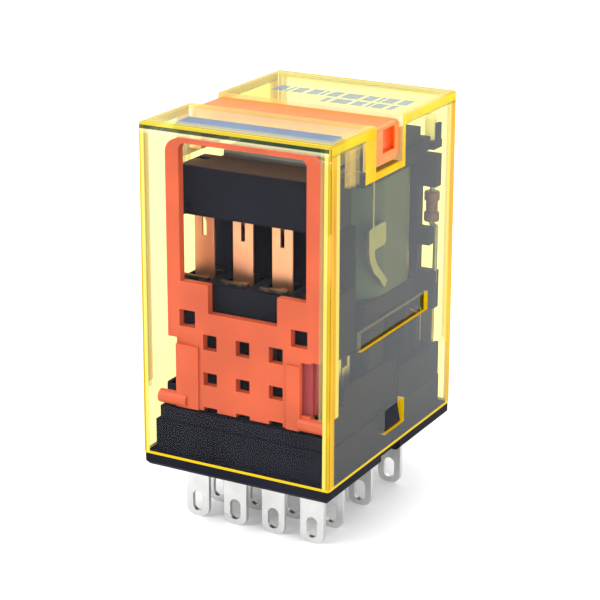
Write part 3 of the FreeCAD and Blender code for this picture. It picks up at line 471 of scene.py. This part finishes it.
def make_materials():
    """One material for each slot of the record, by slot name."""
    up_down, level = (6, 6, 0.25), (0.25, 6, 6)
    return {
        "cover_clear": cover_wall(),
        # black: the patch is painted light, a lighter warm top face of the moving block with a thin
        # highlight on its edge
        "black_plastic": moulded("black_moulding", (0.0100, 0.0104, 0.0165), 0.5, grain=0.006, shine=0.02,
                                 painted_light_patch=((0.085, 0.053, 0.036), ((-8.3, 8.3), (-10.0, -5.2), (30.5, 30.7)))),
        # red card: the patch is painted shade, a darker red on the card's lower right flange
        "card_red": moulded("red_card", (0.51, 0.080, 0.028), 0.42, sheen_tone=1.1, soft=0.1, shine=0.3,
                            painted_light_patch=((0.26, 0.028, 0.032), ((6.4, 8.0), (-11.7, -8.0), (7.8, 13.4)))),
        # orange button: the patch is painted shade, a deeper orange inside the recess of the tab
        "button_orange": moulded("orange_button", (0.76, 0.175, 0.014), 0.36, sheen_tone=1.08, shine=0.35,
                                 painted_light_patch=((0.72, 0.075, 0.0), ((9.5, 10.0), (-2.7, 0.1), (32.1, 34.6)))),
        # tinned blades: above 18.5 mm a dark tarnished tone, darker still as painted shade
        "blade_tin": metal("tinned_blade", (0.68, 0.68, 0.67), 0.34, up_down,
                           tarnish_and_shade=((0.10, 0.075, 0.06), 18.5)),
        "spring_copper": metal("copper_strip", (0.88, 0.43, 0.25), 0.36, up_down),
        "contact_silver": metal("contact_alloy", (0.16, 0.11, 0.08), 0.4, level),
        "magnet_steel": metal("plated_steel", (0.33, 0.34, 0.36), 0.36, level),
        "winding_copper": banded("enamelled_wire", (0.62, 0.22, 0.08), (0.25, 0.07, 0.02), 0.12 * MM,
                                 0.9, 0.3),
        "coil_wrap": moulded("coil_tape_film", (0.036, 0.065, 0.105), 0.4, grain=0.003, shine=0.2),
        "spring_steel": metal("tinned_spring", (0.32, 0.38, 0.52), 0.45, up_down),
        "marking_blue": moulded("blue_plate", (0.080, 0.135, 0.26), 0.6, shine=0.2),
        "marking_dark": moulded("dark_carrier", (0.012, 0.045, 0.035), 0.5),
        "resistor_brown": moulded("resistor_lacquer", (0.10, 0.038, 0.032), 0.35),
        "lamp_clear": lamp_lens(),
    }


# ---- pieces ----

def refined(name, bevel):
    """A copy of a CAD node with clean flat faces and rounded edges, which stands for the node."""
    merge_below, flat_below, round_above, sharp_above = 0.002 * MM, 2, 35, 40
    source = nodes[name]
    mesh = bpy.data.meshes.new(f"{name}_skin")
    shape = bmesh.new()
    shape.from_mesh(source.data)
    bmesh.ops.remove_doubles(shape, verts=shape.verts, dist=merge_below)
    bmesh.ops.dissolve_limit(shape, angle_limit=math.radians(flat_below), verts=shape.verts,
                             edges=shape.edges)
    shape.to_mesh(mesh)
    shape.free()
    mesh.materials.clear()
    piece = bpy.data.objects.new(f"{name}_skin", mesh)
    scene.collection.objects.link(piece)
    if bevel:
        rounding = piece.modifiers.new("rounding", "BEVEL")
        rounding.width, rounding.segments = bevel * MM, 2
        rounding.limit_method, rounding.angle_limit = "ANGLE", math.radians(round_above)
        rounding.harden_normals = True
    for polygon in mesh.polygons:
        polygon.use_smooth = True
    mesh.set_sharp_from_angle(angle=math.radians(sharp_above))
    slot = slot_of[name]
    mesh.materials.append(materials[slot])
    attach(piece, source["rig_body"])
    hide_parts(name)
    return piece


def dress(name):
    """Gives a CAD node that keeps its own shape its finished material."""
    mesh = nodes[name].data
    mesh.materials.clear()
    mesh.materials.append(materials[slot_of[name]])


def make_cover():
    """The clear shell, whose rounded, cut and narrow faces are painted with the glow of gathered light."""
    cover = refined("cover", 0.0)
    mesh = cover.data
    looks = {
        "roof": cover_roof(),
        "inside": cover_inside(),
        # painted glow for each kind of face; the sill's inner part is also painted shade
        "rib": cover_rib("cover_rib", (0.80, 0.72, 0.38), 0.28),
        "apron": cover_rib("cover_apron", (0.84, 0.64, 0.22), 0.75),
        "edge": cover_rib("cover_edge", (0.62, 0.44, 0.02), 0.8),
        "cut": cover_rib("cover_cut", (0.95, 0.65, 0.0), 0.9),
        "sill": cover_rib("cover_sill", (0.90, 0.55, 0.0), 0.9, shaded_inner_part=True),
    }
    order = {"wall": 0}
    for place, (look, material) in enumerate(looks.items(), start=1):
        mesh.materials.append(material)
        order[look] = place
    for polygon in mesh.polygons:
        polygon.use_smooth = False
        polygon.material_index = order[cover_look(polygon.center / MM, polygon.normal)]
    return cover


def cover_look(centre, normal):
    """Which look a face of the shell has, from where it is and which way it faces."""
    x, y, z = abs(centre.x), centre.y, centre.z
    outward_x, outward_y = x > HALF_WIDTH - GROOVE_DEEP - 0.05, abs(y) > HALF_DEPTH - 0.2
    if outward_x and abs(normal.x) > 0.95 or outward_y and abs(normal.y) > 0.95:
        return "wall"
    if z > TOP - 0.05 and normal.z > 0.95:
        return "roof"
    if z > ROOF_UNDER + 0.05 and abs(normal.y) < 0.95 or outward_x and outward_y:
        return "edge"
    if x > WALL_INSIDE and abs(normal.x) < 0.5 and z > 2:
        if normal.z > 0.5:
            return "sill"
        return "cut" if normal.y < -0.5 else "inside"
    round_saddle = SADDLE_FRONT - 1 < y < SADDLE_BACK + 0.85
    if z > 33 and round_saddle and abs(normal.y) > 0.9 and x < WALL_INSIDE:
        return "apron"
    if 8.5 < x < WALL_INSIDE and -8.5 < y < -6.4 and z > 29.5 and normal.z > -0.5:
        return "rib"
    return "inside"


materials = make_materials()
slot_of = {part["node"]: part["material_slot"] for part in frame["record"]["subparts"]}

add_camera()
add_floor()
add_world()
add_light("key", (-0.35, -0.45, 0.65), 0.5, 5)
add_light("fill", (0.6, -0.35, 0.35), 0.6, 2.5)
add_light("rim", (0.1, 0.6, 0.5), 0.5, 2)

for name in nodes:
    if name == "cover":
        make_cover()
    elif name in ("base", "contact_block", "moving_block", "bobbin", "component_holder"):
        refined(name, 0.08)
    elif name in ("card", "check_button"):
        refined(name, 0.12)
    elif "terminal" in name or name in ("armature", "yoke"):
        refined(name, 0.05)
    else:
        dress(name)

scene.view_settings.view_transform = "Standard"
